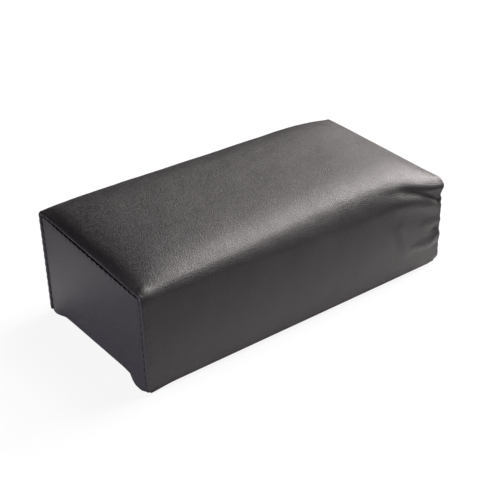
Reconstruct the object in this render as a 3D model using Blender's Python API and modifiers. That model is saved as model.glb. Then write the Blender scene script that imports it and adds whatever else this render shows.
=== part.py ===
"""Manicure hand rest: a sewn leatherette cover over a foam block on a flat base board.

Metres, +Z up. The origin is on the table under the middle of the cushion. The length runs
along X, and the front wall faces -Y. The cover is a long main panel, wrapped from the rear
flap over the back, top and front to the front flap, and two end panels sewn into it.

The outer face is drawn as a straight box with soft edges, which stuffed() swells into the
cushion. Every layer below it is set in along the outer face's own normals, so layers that
are given different insets stay clear of each other all over the cushion.
"""
import functools
import math

import bpy
import bmesh
from mathutils import Vector

# Driving sizes of the cushion
LENGTH = 0.300
WIDTH = 0.150
WALL_HEIGHT = 0.087
CROWN = 0.0136
CROWN_TILT = 0.29
CROWN_LENGTH_POWER = 6.4
CROWN_WIDTH_POWER = 5.4
SIDE_BULGE = 0.0020
LEFT_EDGE_RADIUS = 0.0044
RIGHT_EDGE_RADIUS = 0.0105
END_EDGE_RADIUS = 0.0041
EDGE_RADIUS_FADE = 0.025
EDGE_CHANGE_PLACE = -0.020
EDGE_CHANGE_LENGTH = 0.150
CORNER_LIFT = {(-1, 1): 0.0100, (-1, -1): 0.0005, (1, -1): -0.0046, (1, 1): -0.0019}

# Layers
COVER = 0.0007
LINING = 0.0004
BOARD = 0.005
CLEARANCE = 0.0003
FOAM_EASE = 0.00045

# Underside of the cover
CORNER_FOLD_HEIGHT = 0.006
CORNER_FOLD_LENGTH = 0.024
CORNER_FOLD_ROUND = 0.0055
RIGHT_CORNER_TUCK = 0.005
FOLD_RADIUS = 0.0016
FOLD_SLACK = 0.0026
LEFT_CORNER_SAG = 0.0016
LEFT_SAG_LENGTH = 0.024
RIGHT_CORNER_RISE = 0.0022
RIGHT_RISE_LENGTH = 0.014
MAIN_FLAP = 0.025
END_FLAP = 0.022
FLAP_RISE = 0.013
CORNER_NOTCH = 0.026

# Seams between the main panel and the end panels
ROLL_RADIUS = 0.0011
TURN_RADIUS = 0.0009
ALLOWANCE = 0.008
TRIMMED_ALLOWANCE = 0.0019
END_SET_BACK = 0.0003

# Base board and lining
BOARD_CORNER_RADIUS = 0.010
BOARD_EDGE_ROUND = 0.0006
LINING_MARGIN = 0.0135
LINING_CORNER_CUT = 0.006

# Staples
STAPLE_CROWN = 0.010
STAPLE_WIRE = 0.0012
STAPLE_THICKNESS = 0.0006
STAPLE_LEG = 0.0065
STAPLE_POINT = 0.0008
STAPLE_MARGIN = 0.0185
LONG_ROW_STAPLES = 7
LONG_ROW_PITCH = 0.034
END_ROW_STAPLES = 3
END_ROW_PITCH = 0.036

# Loose folds of the front wall: from (x, z), to (x, z), height and half width of each.
# x is counted back from the right end, and z up from the flap.
FOLDS = (
    ((0.030, 0.070), (0.000, 0.055), 0.0015, 0.0048),
    ((0.013, 0.043), (0.000, 0.038), 0.0010, 0.0042),
    ((0.031, 0.022), (0.001, 0.022), 0.0012, 0.0050),
    ((0.012, 0.074), (0.000, 0.070), 0.0013, 0.0045),
)

# Stations of the wrap, counted from the nearer end
STATIONS_FROM_LEFT = (0.004, 0.008, 0.014, 0.024, 0.042, 0.070, 0.110)
STATIONS_FROM_RIGHT = (0.110, 0.070, 0.046, 0.036, 0.028, 0.021, 0.015, 0.010, 0.0065, 0.0035)

# Steps in which curved surfaces are drawn
ROLL_STEPS = 4
TURN_STEPS = 2
FOLD_STEPS = 2
EDGE_STEPS = 4
FRONT_ROWS = 11
REAR_ROWS = 6
TOP_ROWS = 11
BOARD_CORNER_STEPS = 6

FLAP_LEVEL = CORNER_FOLD_HEIGHT
BOARD_UNDERSIDE = FLAP_LEVEL + COVER + CLEARANCE
BOARD_TOP = BOARD_UNDERSIDE + BOARD
FOAM_BASE = BOARD_TOP + CLEARANCE
MAIN_SEAM_INSET = 2 * ROLL_RADIUS
END_SEAM_INSET = MAIN_SEAM_INSET + CLEARANCE
FACE_INSET = END_SEAM_INSET + TURN_RADIUS
END_PLANE = LENGTH / 2 - END_SET_BACK
LINING_TOP = FLAP_LEVEL - CLEARANCE
LINING_UNDERSIDE = LINING_TOP - LINING
STAPLE_TOP = LINING_UNDERSIDE - CLEARANCE
LAST_ROW = FRONT_ROWS + TOP_ROWS + REAR_ROWS + 2 * EDGE_STEPS

RIGHT = 1
LEFT = -1
FRONT = -1
REAR = 1


def clamp(value, low=0.0, high=1.0):
    """Keep a value between two limits."""
    return min(max(value, low), high)


def smooth(t):
    """Ease from 0 to 1 with level ends."""
    t = clamp(t)
    return t * t * (3 - 2 * t)


def spaced(start, stop, steps):
    """Values from start to stop in equal steps, both included."""
    return [start + (stop - start) * i / steps for i in range(steps + 1)]


def crowded(start, stop, steps):
    """Values from start to stop that lie closer together near both ends."""
    middle = (start + stop) / 2
    reach = (stop - start) / 2
    return [middle - reach * math.cos(math.pi * i / steps) for i in range(steps + 1)]


def top_lift(x, y):
    """How far the stuffing lifts the top of the straight box at a place in plan."""
    u = clamp(2 * x / LENGTH, -1, 1)
    v = clamp(2 * y / WIDTH, -1, 1)
    corners = sum(
        lift * (1 + sx * u) * (1 + sy * v) / 4 for (sx, sy), lift in CORNER_LIFT.items()
    )
    dome = (1 - abs(u) ** CROWN_LENGTH_POWER) * (1 - abs(v) ** CROWN_WIDTH_POWER)
    return corners + CROWN * (1 + CROWN_TILT * u) * dome


def stuffed(x, y, z):
    """Where the stuffing presses a point of the straight box."""
    u = clamp(2 * x / LENGTH, -1, 1)
    v = clamp(2 * y / WIDTH, -1, 1)
    rise = smooth((z - FOAM_BASE) / (WALL_HEIGHT - FOAM_BASE))
    up = clamp((z - FLAP_LEVEL) / (WALL_HEIGHT - FLAP_LEVEL))
    side = SIDE_BULGE * 4 * up * (1 - up) * v * (1 - u ** 4)
    return Vector((x, y + side, z + rise * top_lift(x, y)))


def edge_radius(x):
    """Radius of the long top edges, softer to the right and tight at the end seams."""
    from_end = LENGTH / 2 - abs(x)
    change = smooth((x - EDGE_CHANGE_PLACE) / EDGE_CHANGE_LENGTH + 0.5)
    body = LEFT_EDGE_RADIUS + (RIGHT_EDGE_RADIUS - LEFT_EDGE_RADIUS) * change
    return END_EDGE_RADIUS + (body - END_EDGE_RADIUS) * (
        1 - math.exp(-from_end / EDGE_RADIUS_FADE)
    )


def edge_rounding(side, reach):
    """Points of a soft long edge of the straight box, from the wall to the top."""
    handle = 0.45 * reach
    points = []
    for t in spaced(0, 1, EDGE_STEPS):
        below_top = (1 - t) ** 3 * reach + 3 * (1 - t) ** 2 * t * handle
        from_wall = t ** 3 * reach + 3 * (1 - t) * t * t * handle
        points.append((side * (WIDTH / 2 - from_wall), WALL_HEIGHT - below_top))
    return points


@functools.lru_cache(maxsize=None)
def outer_line(x, foot):
    """The cushion's outer section at a station, from its front foot to its rear foot."""
    reach = 1.2 * edge_radius(x)
    edge_foot = WALL_HEIGHT - reach
    front_wall = [(-WIDTH / 2, z) for z in spaced(foot, edge_foot, FRONT_ROWS)[:-1]]
    rear_wall = [(WIDTH / 2, z) for z in spaced(foot, edge_foot, REAR_ROWS)[:-1]]
    front_edge = edge_rounding(FRONT, reach)
    rear_edge = edge_rounding(REAR, reach)
    across = crowded(front_edge[-1][0], rear_edge[-1][0], TOP_ROWS)[1:-1]
    top = [(y, WALL_HEIGHT) for y in across]
    section = front_wall + front_edge + top + rear_edge[::-1] + rear_wall[::-1]
    return [stuffed(x, y, z) for y, z in section]


class Spot:
    """A point of the outer face, with its normal and its way out to the nearer end."""

    def __init__(self, side, from_end, row, foot):
        line = outer_line(side * (LENGTH / 2 - from_end), foot)
        inner_line = outer_line(side * (LENGTH / 2 - from_end - COVER), foot)
        before = line[max(row - 1, 0)]
        after = line[min(row + 1, LAST_ROW)]
        self.point = line[row]
        self.outward = (line[row] - inner_line[row]).normalized()
        self.normal = (side * self.outward.cross(after - before)).normalized()

    def under(self, inset, on=0.0):
        """A point below the outer face, carried on towards the end if wanted."""
        return self.point - self.normal * inset + self.outward * on

    def under_at(self, inset, end):
        """The point at an inset, carried on to a plane square to the length."""
        start = self.under(inset)
        return start + self.outward * ((end - abs(start.x)) / abs(self.outward.x))


def allowance_reach(z):
    """Depth of a seam allowance, trimmed short beside the base board."""
    above_board = (z - FOAM_BASE) / ALLOWANCE - 1
    return TRIMMED_ALLOWANCE + (ALLOWANCE - TRIMMED_ALLOWANCE) * smooth(above_board)


def allowance_lines(side, inset, foot):
    """A seam allowance as lines of points, from its free edge out to the seam."""
    seam = outer_line(side * (LENGTH / 2 - ROLL_RADIUS), foot)
    lines = []
    for share in (1.0, 0.5, 0.0):
        line = []
        for row, point in enumerate(seam):
            reach = share * allowance_reach(point.z)
            line.append(Spot(side, ROLL_RADIUS + reach, row, foot).under(inset))
        lines.append(line)
    return lines


def roll_lines(side, foot):
    """The main panel's end roll as lines of points, from its underside to the outer face."""
    spots = [Spot(side, ROLL_RADIUS, row, foot) for row in range(LAST_ROW + 1)]
    lines = []
    for angle in spaced(math.pi, 0, ROLL_STEPS)[1:]:
        inset = ROLL_RADIUS * (1 - math.cos(angle))
        on = ROLL_RADIUS * math.sin(angle)
        lines.append([spot.under(inset, on) for spot in spots])
    return lines


def turn_lines(side, foot):
    """The end panel's turn as lines of points, from its allowance to its flat face."""
    lines = [[] for _ in range(TURN_STEPS + 1)]
    for row in range(LAST_ROW + 1):
        spot = Spot(side, ROLL_RADIUS, row, foot)
        centre = spot.under_at(FACE_INSET, END_PLANE - TURN_RADIUS)
        slope = math.asin(clamp(abs(spot.normal.x)))
        for step, angle in enumerate(spaced(0, math.pi / 2 - slope, TURN_STEPS)):
            away = spot.normal * math.cos(angle) + spot.outward * math.sin(angle)
            lines[step].append(centre + away * TURN_RADIUS)
    return lines


def hem_level(x):
    """Level of the lower fold, which sags over the left corners and is drawn up at the right."""
    sag = LEFT_CORNER_SAG * (1 - smooth((LENGTH / 2 + x) / LEFT_SAG_LENGTH))
    rise = RIGHT_CORNER_RISE * (1 - smooth((LENGTH / 2 - x) / RIGHT_RISE_LENGTH))
    return FLAP_LEVEL - FOLD_SLACK - sag + rise


def under_fold(side, x):
    """The flap and lower fold of one side, from the free edge to the foot of the wall."""
    wall = side * WIDTH / 2
    points = [
        Vector((x, wall - side * MAIN_FLAP, FLAP_LEVEL)),
        Vector((x, wall - side * FLAP_RISE, FLAP_LEVEL)),
    ]
    for angle in spaced(0, math.pi / 2, FOLD_STEPS)[:-1]:
        back = FOLD_RADIUS * (1 - math.sin(angle))
        up = FOLD_RADIUS * (1 - math.cos(angle))
        points.append(Vector((x, wall - side * back, hem_level(x) + up)))
    return points


def fold_height(point):
    """Outward height of the loose folds at a point of the front wall."""
    place = Vector((LENGTH / 2 - point.x, point.z - FLAP_LEVEL))
    height = 0.0
    for start, stop, crest, half_width in FOLDS:
        run = Vector(stop) - Vector(start)
        away = place - Vector(start)
        t = clamp(away.dot(run) / run.length_squared)
        distance = (away - run * t).length
        height += crest * math.exp(-((distance / half_width) ** 2)) * smooth(t + 0.4)
    return height


def along_cushion():
    """Stations between the end rolls, closer near the ends and at the front folds."""
    left = [-LENGTH / 2 + from_end for from_end in STATIONS_FROM_LEFT]
    right = [LENGTH / 2 - from_end for from_end in STATIONS_FROM_RIGHT]
    return left + right


def new_object(name, mesh_data, collection, material=None):
    """Link a mesh as an object and give it its material."""
    obj = bpy.data.objects.new(name, mesh_data)
    collection.objects.link(obj)
    if material is not None:
        mesh_data.materials.append(material)
    return obj


def finish_mesh(bm, name):
    """Turn a bmesh into smooth-shaded mesh data with its hard edges kept."""
    mesh = bpy.data.meshes.new(name)
    bm.to_mesh(mesh)
    bm.free()
    mesh.shade_smooth()
    mesh.set_sharp_from_angle(angle=math.radians(50))
    return mesh


def finish(name, colour, roughness, metallic=0.0):
    """A plain material in the piece's own colour."""
    material = bpy.data.materials.new(name)
    material.use_nodes = True
    shader = material.node_tree.nodes["Principled BSDF"]
    shader.inputs["Base Color"].default_value = (*colour, 1.0)
    shader.inputs["Roughness"].default_value = roughness
    shader.inputs["Metallic"].default_value = metallic
    return material


def add_sheet(bm, lines):
    """Add a grid whose columns follow the given lines of points; returns its vertices."""
    columns = len(lines)
    rows = len(lines[0])
    made = bmesh.ops.create_grid(bm, x_segments=columns - 1, y_segments=rows - 1, size=0.5)
    places = {}
    for vert in made["verts"]:
        column = round((vert.co.x + 0.5) * (columns - 1))
        row = round((vert.co.y + 0.5) * (rows - 1))
        places[column, row] = vert
    for (column, row), vert in places.items():
        vert.co = lines[column][row]
    return places


def face_towards(bm, direction):
    """Turn a sheet's faces together, so that the widest one looks in a direction."""
    bmesh.ops.recalc_face_normals(bm, faces=bm.faces[:])
    widest = max(bm.faces, key=lambda face: face.calc_area())
    if widest.normal.dot(direction) < 0:
        bmesh.ops.reverse_faces(bm, faces=bm.faces[:])


def thicken(obj, thickness):
    """Give an open sheet its thickness, inwards from its outer face."""
    solidify = obj.modifiers.new("thickness", "SOLIDIFY")
    solidify.thickness = thickness
    solidify.offset = -1
    solidify.use_even_offset = True
    solidify.use_quality_normals = True


def add_boolean(obj, solid, operation, name):
    """Join a hidden solid onto an object, or cut it out."""
    boolean = obj.modifiers.new(name, "BOOLEAN")
    boolean.operation = operation
    boolean.solver = "EXACT"
    boolean.object = solid


def make_main_panel(collection, material):
    """The wrap over back, top and front, rolled in at both ends, with its two flaps."""
    lines = []
    hooks = {}
    for side in (LEFT, RIGHT):
        foot = hem_level(side * LENGTH / 2) + FOLD_RADIUS
        allowance = allowance_lines(side, MAIN_SEAM_INSET, foot)
        hooks[side] = allowance + roll_lines(side, foot)
    for line in hooks[LEFT]:
        lines.append((None, line))
    for x in along_cushion():
        lines.append((x, outer_line(x, hem_level(x) + FOLD_RADIUS)))
    for line in reversed(hooks[RIGHT]):
        lines.append((None, line))
    full = []
    for x, line in lines:
        at = line[0].x if x is None else x
        front = under_fold(FRONT, at)
        rear = under_fold(REAR, at)
        full.append(front + [point.copy() for point in line] + rear[::-1])
    spare = len(under_fold(FRONT, 0))
    last = len(full[0]) - 1
    for line in full:
        for point in line[spare:last - spare]:
            if point.y < 0:
                on_wall = smooth((WALL_HEIGHT - point.z) / RIGHT_EDGE_RADIUS)
                point.y -= fold_height(point) * on_wall
    bm = bmesh.new()
    places = add_sheet(bm, full)
    beyond = []
    for (column, row), vert in places.items():
        in_hook = lines[column][0] is None
        in_flap = min(row, last - row) < 2
        in_fold = min(row, last - row) < spare
        from_end = LENGTH / 2 - abs(vert.co.x)
        if (in_fold and in_hook) or (in_flap and from_end < CORNER_NOTCH):
            beyond.append(vert)
    bmesh.ops.delete(bm, geom=beyond, context="VERTS")
    face_towards(bm, Vector((0, 0, 1)))
    panel = new_object("main_panel", finish_mesh(bm, "main_panel"), collection, material)
    thicken(panel, COVER)
    return panel


def make_end_panel(side, name, collection, material):
    """A flat end sewn inside the roll, with turned-in allowances and a bottom flap."""
    floor = FLAP_LEVEL + TURN_RADIUS
    bm = bmesh.new()
    allowance = allowance_lines(side, END_SEAM_INSET, floor)[:-1]
    sewn_lines = allowance + turn_lines(side, floor)
    sewn = add_sheet(bm, sewn_lines)
    rim = [sewn[len(sewn_lines) - 1, row] for row in range(LAST_ROW + 1)]
    flap_reach = rim[-1].co.y - 2 * COVER
    across = spaced(-flap_reach, flap_reach, TOP_ROWS)
    bottom_lines = []
    for angle in spaced(0, math.pi / 2, TURN_STEPS):
        back = TURN_RADIUS * (1 - math.cos(angle))
        down = TURN_RADIUS * math.sin(angle)
        x = side * (END_PLANE - back)
        bottom_lines.append([Vector((x, y, floor - down)) for y in across])
    flap_edge = side * (END_PLANE - END_FLAP)
    bottom_lines.append([Vector((flap_edge, y, FLAP_LEVEL)) for y in across])
    bottom = add_sheet(bm, bottom_lines)
    bm.faces.new(rim + [bottom[0, row] for row in range(TOP_ROWS, -1, -1)])
    bmesh.ops.remove_doubles(bm, verts=bm.verts[:], dist=COVER / 100)
    face_towards(bm, Vector((side, 0, 0)))
    panel = new_object(name, finish_mesh(bm, name), collection, material)
    thicken(panel, COVER)
    return panel


def corner_fold(bm, side, end_side):
    """A pleated corner: a three-sided wad under the flap that reaches the table."""
    outer_y = WIDTH / 2 - END_SEAM_INSET
    outer_x = END_PLANE
    inner_y = outer_y - CORNER_FOLD_LENGTH
    top = FLAP_LEVEL + COVER / 2
    tuck = RIGHT_CORNER_TUCK if end_side == RIGHT else 0.0
    outline = [(outer_y, top), (outer_y - tuck, 0.0)]
    for angle in spaced(math.pi / 2, 0, 3):
        outline.append((
            inner_y + CORNER_FOLD_ROUND * (1 - math.cos(angle)),
            CORNER_FOLD_ROUND * (1 - math.sin(angle)),
        ))
    outline.append((inner_y, top))
    verts = [bm.verts.new((end_side * outer_x, side * y, z)) for y, z in outline]
    face = bm.faces.new(verts)
    made = bmesh.ops.extrude_face_region(bm, geom=[face])["geom"]
    moved = [item for item in made if isinstance(item, bmesh.types.BMVert)]
    inward = Vector((-end_side * CORNER_FOLD_LENGTH, 0, 0))
    bmesh.ops.translate(bm, vec=inward, verts=moved)
    if end_side == RIGHT:
        for vert in verts:
            vert.co.x -= RIGHT_CORNER_TUCK * (1 - clamp(vert.co.z / top))
    fold_verts = verts + moved
    fold_edges = list({edge for vert in fold_verts for edge in vert.link_edges})
    fold_faces = list({face for vert in fold_verts for face in vert.link_faces})
    corner = Vector((end_side * outer_x, side * outer_y, 0))
    away = Vector((end_side, side, 0)).normalized()
    bisected = bmesh.ops.bisect_plane(
        bm,
        geom=fold_verts + fold_edges + fold_faces,
        plane_co=corner - Vector((end_side * (CORNER_FOLD_LENGTH - COVER), 0, 0)),
        plane_no=-away,
        clear_outer=True,
    )["geom_cut"]
    cut_edges = [item for item in bisected if isinstance(item, bmesh.types.BMEdge)]
    bmesh.ops.holes_fill(bm, edges=cut_edges)


def make_corner_folds(end_side, name, collection):
    """The two pleated corners of one end, as a hidden solid to join onto its panel."""
    bm = bmesh.new()
    for side in (FRONT, REAR):
        corner_fold(bm, side, end_side)
    bmesh.ops.recalc_face_normals(bm, faces=bm.faces[:])
    mesh = bpy.data.meshes.new(name)
    bm.to_mesh(mesh)
    bm.free()
    return hidden_solid(name, mesh, collection)


def hidden_solid(name, mesh, collection):
    """A solid that only cuts or joins others."""
    solid = new_object(name, mesh, collection)
    solid.hide_render = True
    solid.display_type = "WIRE"
    return solid


def make_foam(collection, material):
    """The foam block, pinched in at its ends by the seam allowances."""
    body_inset = COVER + FOAM_EASE
    end_inset = END_SEAM_INSET + COVER + FOAM_EASE
    allowance_end = ROLL_RADIUS + ALLOWANCE + FOAM_EASE
    plane = END_PLANE - COVER - FOAM_EASE
    rows = range(LAST_ROW + 1)
    ends = {}
    for side in (LEFT, RIGHT):
        seam = [Spot(side, ROLL_RADIUS, row, FOAM_BASE) for row in rows]
        deep = [Spot(side, allowance_end, row, FOAM_BASE) for row in rows]
        free = [Spot(side, allowance_end + FOAM_EASE, row, FOAM_BASE) for row in rows]
        ends[side] = [
            [spot.under_at(end_inset, plane) for spot in seam],
            [spot.under(end_inset) for spot in deep],
            [spot.under(body_inset) for spot in free],
        ]
    lines = list(ends[LEFT])
    for x in along_cushion():
        from_end = LENGTH / 2 - abs(x)
        if from_end > allowance_end + ALLOWANCE / 2:
            side = math.copysign(1, x)
            spots = [Spot(side, from_end, row, FOAM_BASE) for row in rows]
            lines.append([spot.under(body_inset) for spot in spots])
    lines += reversed(ends[RIGHT])
    for line in lines:
        for point in line:
            point.z = max(point.z, FOAM_BASE)
    bm = bmesh.new()
    places = add_sheet(bm, lines)
    last = len(lines) - 1
    feet = [bm.edges.get((places[c, r], places[c + 1, r])) for r in (0, LAST_ROW) for c in range(last)]
    bmesh.ops.bridge_loops(bm, edges=feet)
    for column in (0, last):
        bm.faces.new([places[column, row] for row in rows])
    bmesh.ops.recalc_face_normals(bm, faces=bm.faces[:])
    return new_object("foam_core", finish_mesh(bm, "foam_core"), collection, material)


def flat_plate(name, size, level, thickness, corner, segments, collection, material):
    """A plate with its vertical corners rounded, or cut straight with one segment."""
    bm = bmesh.new()
    bmesh.ops.create_cube(bm, size=1.0)
    bmesh.ops.scale(bm, vec=(size[0], size[1], thickness), verts=bm.verts[:])
    bmesh.ops.translate(bm, vec=(0, 0, level + thickness / 2), verts=bm.verts[:])
    upright = [
        edge for edge in bm.edges if abs(edge.verts[0].co.z - edge.verts[1].co.z) > thickness / 2
    ]
    bmesh.ops.bevel(
        bm, geom=upright, offset=corner, segments=segments, affect="EDGES", profile=0.5,
    )
    return new_object(name, finish_mesh(bm, name), collection, material)


def make_board(collection, material):
    """The flat board under the foam that keeps the lower edges straight."""
    side_gap = COVER + CLEARANCE
    end_gap = END_SET_BACK + COVER + CLEARANCE
    size = (LENGTH - 2 * end_gap, WIDTH - 2 * side_gap)
    board = flat_plate(
        "base_board", size, BOARD_UNDERSIDE, BOARD, BOARD_CORNER_RADIUS, BOARD_CORNER_STEPS,
        collection, material,
    )
    rounding = board.modifiers.new("eased edges", "BEVEL")
    rounding.width = BOARD_EDGE_ROUND
    rounding.segments = 1
    rounding.limit_method = "ANGLE"
    rounding.angle_limit = math.radians(50)
    return board


def make_lining(collection, material):
    """The thin cloth that closes the underside over the stapled flaps."""
    size = (LENGTH - 2 * LINING_MARGIN, WIDTH - 2 * LINING_MARGIN)
    return flat_plate(
        "bottom_lining", size, LINING_UNDERSIDE, LINING, LINING_CORNER_CUT, 1,
        collection, material,
    )


def staple_places():
    """Every staple as (x, y, quarter turns), long rows first."""
    places = []
    long_y = WIDTH / 2 - STAPLE_MARGIN
    end_x = LENGTH / 2 - STAPLE_MARGIN
    for side in (FRONT, REAR):
        for i in range(LONG_ROW_STAPLES):
            x = (i - (LONG_ROW_STAPLES - 1) / 2) * LONG_ROW_PITCH
            places.append((x, side * long_y, 0))
    for side in (LEFT, RIGHT):
        for i in range(END_ROW_STAPLES):
            y = (i - (END_ROW_STAPLES - 1) / 2) * END_ROW_PITCH
            places.append((side * end_x, y, 1))
    return places


def staple_mesh():
    """One wire staple with its crown below and two pointed legs up."""
    half = STAPLE_CROWN / 2
    inner = half - STAPLE_THICKNESS
    tip = STAPLE_LEG
    outline = [
        (-half, -STAPLE_THICKNESS),
        (half, -STAPLE_THICKNESS),
        (half, tip - STAPLE_POINT),
        (inner, tip),
        (inner, 0.0),
        (-inner, 0.0),
        (-inner, tip),
        (-half, tip - STAPLE_POINT),
    ]
    bm = bmesh.new()
    verts = [bm.verts.new((x, -STAPLE_WIRE / 2, z)) for x, z in outline]
    face = bm.faces.new(verts)
    made = bmesh.ops.extrude_face_region(bm, geom=[face])["geom"]
    moved = [item for item in made if isinstance(item, bmesh.types.BMVert)]
    bmesh.ops.translate(bm, vec=(0, STAPLE_WIRE, 0), verts=moved)
    bmesh.ops.recalc_face_normals(bm, faces=bm.faces[:])
    mesh = bpy.data.meshes.new("staple")
    bm.to_mesh(mesh)
    bm.free()
    return mesh


def make_staples(collection, material):
    """Wire staples through the lining and the flaps into the board."""
    mesh = staple_mesh()
    mesh.materials.append(material)
    for number, (x, y, turns) in enumerate(staple_places(), start=1):
        staple = new_object(f"staple_{number:02d}", mesh, collection)
        staple.location = (x, y, STAPLE_TOP)
        staple.rotation_euler.z = turns * math.pi / 2


def make_staple_slots(name, quarter, collection):
    """Slots for the legs of the long rows or the end rows, as one hidden cutter."""
    bm = bmesh.new()
    leg_place = STAPLE_CROWN / 2 - STAPLE_THICKNESS / 2
    slot_length = STAPLE_THICKNESS + 2 * CLEARANCE
    slot_width = STAPLE_WIRE + 2 * CLEARANCE
    bottom = LINING_UNDERSIDE - CLEARANCE / 2
    top = STAPLE_TOP + STAPLE_LEG + CLEARANCE
    for x, y, turns in staple_places():
        if turns != quarter:
            continue
        for leg in (-leg_place, leg_place):
            made = bmesh.ops.create_cube(bm, size=1.0)["verts"]
            if turns:
                size = (slot_width, slot_length, top - bottom)
                centre = (x, y + leg, (top + bottom) / 2)
            else:
                size = (slot_length, slot_width, top - bottom)
                centre = (x + leg, y, (top + bottom) / 2)
            bmesh.ops.scale(bm, vec=size, verts=made)
            bmesh.ops.translate(bm, vec=centre, verts=made)
    mesh = bpy.data.meshes.new(name)
    bm.to_mesh(mesh)
    bm.free()
    return hidden_solid(name, mesh, collection)


def clear_scene():
    """Start from an empty scene."""
    for obj in list(bpy.data.objects):
        bpy.data.objects.remove(obj, do_unlink=True)


def build():
    """Make every piece of the hand rest."""
    clear_scene()
    parts = bpy.data.collections.new("manicure_hand_rest")
    helpers = bpy.data.collections.new("hand_rest_helpers")
    bpy.context.scene.collection.children.link(parts)
    bpy.context.scene.collection.children.link(helpers)

    top_leather = finish("leatherette_main", (0.030, 0.028, 0.029), 0.42)
    left_leather = finish("leatherette_end_left", (0.028, 0.026, 0.029), 0.45)
    right_leather = finish("leatherette_end_right", (0.028, 0.026, 0.029), 0.45)
    foam = finish("foam", (0.72, 0.70, 0.62), 0.95)
    fibreboard = finish("fibreboard", (0.42, 0.29, 0.18), 0.80)
    lining_cloth = finish("lining_cloth", (0.020, 0.020, 0.021), 0.90)
    steel = finish("staple_wire", (0.62, 0.62, 0.63), 0.35, 1.0)

    long_slots = make_staple_slots("long_row_slots", 0, helpers)
    end_slots = make_staple_slots("end_row_slots", 1, helpers)

    main_panel = make_main_panel(parts, top_leather)
    add_boolean(main_panel, long_slots, "DIFFERENCE", "staple slots")
    for side, word, leather in ((LEFT, "left", left_leather), (RIGHT, "right", right_leather)):
        panel = make_end_panel(side, f"end_panel_{word}", parts, leather)
        folds = make_corner_folds(side, f"corner_folds_{word}", helpers)
        add_boolean(panel, folds, "UNION", "pleated corners")
        add_boolean(panel, end_slots, "DIFFERENCE", "staple slots")
    make_foam(parts, foam)
    board = make_board(parts, fibreboard)
    lining = make_lining(parts, lining_cloth)
    for plate in (board, lining):
        add_boolean(plate, long_slots, "DIFFERENCE", "long row slots")
        add_boolean(plate, end_slots, "DIFFERENCE", "end row slots")
    make_staples(parts, steel)


build()
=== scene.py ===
"""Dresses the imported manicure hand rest: cover, seams, filling, base and studio.

The cushion is a foam block on a fibreboard base. A long leatherette panel wraps it from the
rear underside over the back, top and front, and two flat end panels are sewn into it. Every
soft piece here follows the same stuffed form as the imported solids, drawn finer.
"""
import logging
import math
from collections.abc import Callable
from dataclasses import dataclass, field
from enum import Enum

import bmesh
import bpy
import numpy as np
from mathutils import Matrix, Vector
from mathutils.kdtree import KDTree


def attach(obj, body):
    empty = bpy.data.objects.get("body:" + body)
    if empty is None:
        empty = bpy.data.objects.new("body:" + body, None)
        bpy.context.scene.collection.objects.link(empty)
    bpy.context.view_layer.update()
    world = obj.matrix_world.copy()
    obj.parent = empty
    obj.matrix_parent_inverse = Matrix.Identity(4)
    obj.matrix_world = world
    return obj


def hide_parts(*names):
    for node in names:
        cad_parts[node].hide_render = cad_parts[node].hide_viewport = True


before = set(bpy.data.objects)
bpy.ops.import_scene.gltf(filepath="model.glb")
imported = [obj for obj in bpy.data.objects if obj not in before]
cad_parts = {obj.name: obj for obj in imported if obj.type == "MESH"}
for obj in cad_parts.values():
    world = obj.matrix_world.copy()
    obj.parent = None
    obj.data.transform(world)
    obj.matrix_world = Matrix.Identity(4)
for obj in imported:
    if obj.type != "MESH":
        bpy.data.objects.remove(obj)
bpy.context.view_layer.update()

Array = np.ndarray
Triple = tuple[float, float, float]
Mesh = bmesh.types.BMesh
Object = bpy.types.Object
Material = bpy.types.Material
Socket = bpy.types.NodeSocket

LOG = logging.getLogger("hand_rest")
WELD = 1e-6
WHITE = {"Color": (1, 1, 1, 1), "Strength": 1.0}
SHARP_ANGLE = math.radians(60)


class Side(Enum):
    """The two ends of the cushion."""

    LEFT = -1
    RIGHT = 1


def smooth(t: Array) -> Array:
    """Ease from 0 to 1 with level ends.

    Args:
        t: Values to ease; below 0 gives 0 and above 1 gives 1.

    Returns:
        The eased values.
    """
    t = np.clip(t, 0.0, 1.0)
    return t * t * (3 - 2 * t)


def unit(vectors: Array) -> Array:
    """Scale rows of vectors to length one."""
    return vectors / np.linalg.norm(vectors, axis=-1, keepdims=True)


# ---- shader writing


def operator(operation: str, swapped: bool = False) -> Callable:
    """Write an operator of shader values as a Math node, the other value first if swapped."""

    def apply(self: "Wire", other: "Wire | float") -> "Wire":
        """Work on both values."""
        return self.maths(operation, *((other, self) if swapped else (self, other)))

    return apply


class Wire:
    """A shader value that can be written into sums, products and powers."""

    def __init__(self, graph: "Graph", socket: Socket) -> None:
        """Wrap one output socket of a graph."""
        self.graph = graph
        self.socket = socket

    def maths(self, operation: str, *values: "Wire | float") -> "Wire":
        """Add a Math node that works on the given values."""
        return self.graph.wire("Math", dict(enumerate(values)), operation=operation)

    __add__ = __radd__ = operator("ADD")
    __mul__ = __rmul__ = operator("MULTIPLY")
    __sub__, __rsub__ = operator("SUBTRACT"), operator("SUBTRACT", swapped=True)
    __truediv__, __rtruediv__ = operator("DIVIDE"), operator("DIVIDE", swapped=True)
    __pow__ = operator("POWER")
    larger, smaller = operator("MAXIMUM"), operator("MINIMUM")

    def absolute(self) -> "Wire":
        """The value without its sign."""
        return self.maths("ABSOLUTE", self)

    def clamped(self) -> "Wire":
        """The value kept between 0 and 1."""
        return self.smaller(1.0).larger(0.0)


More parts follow.
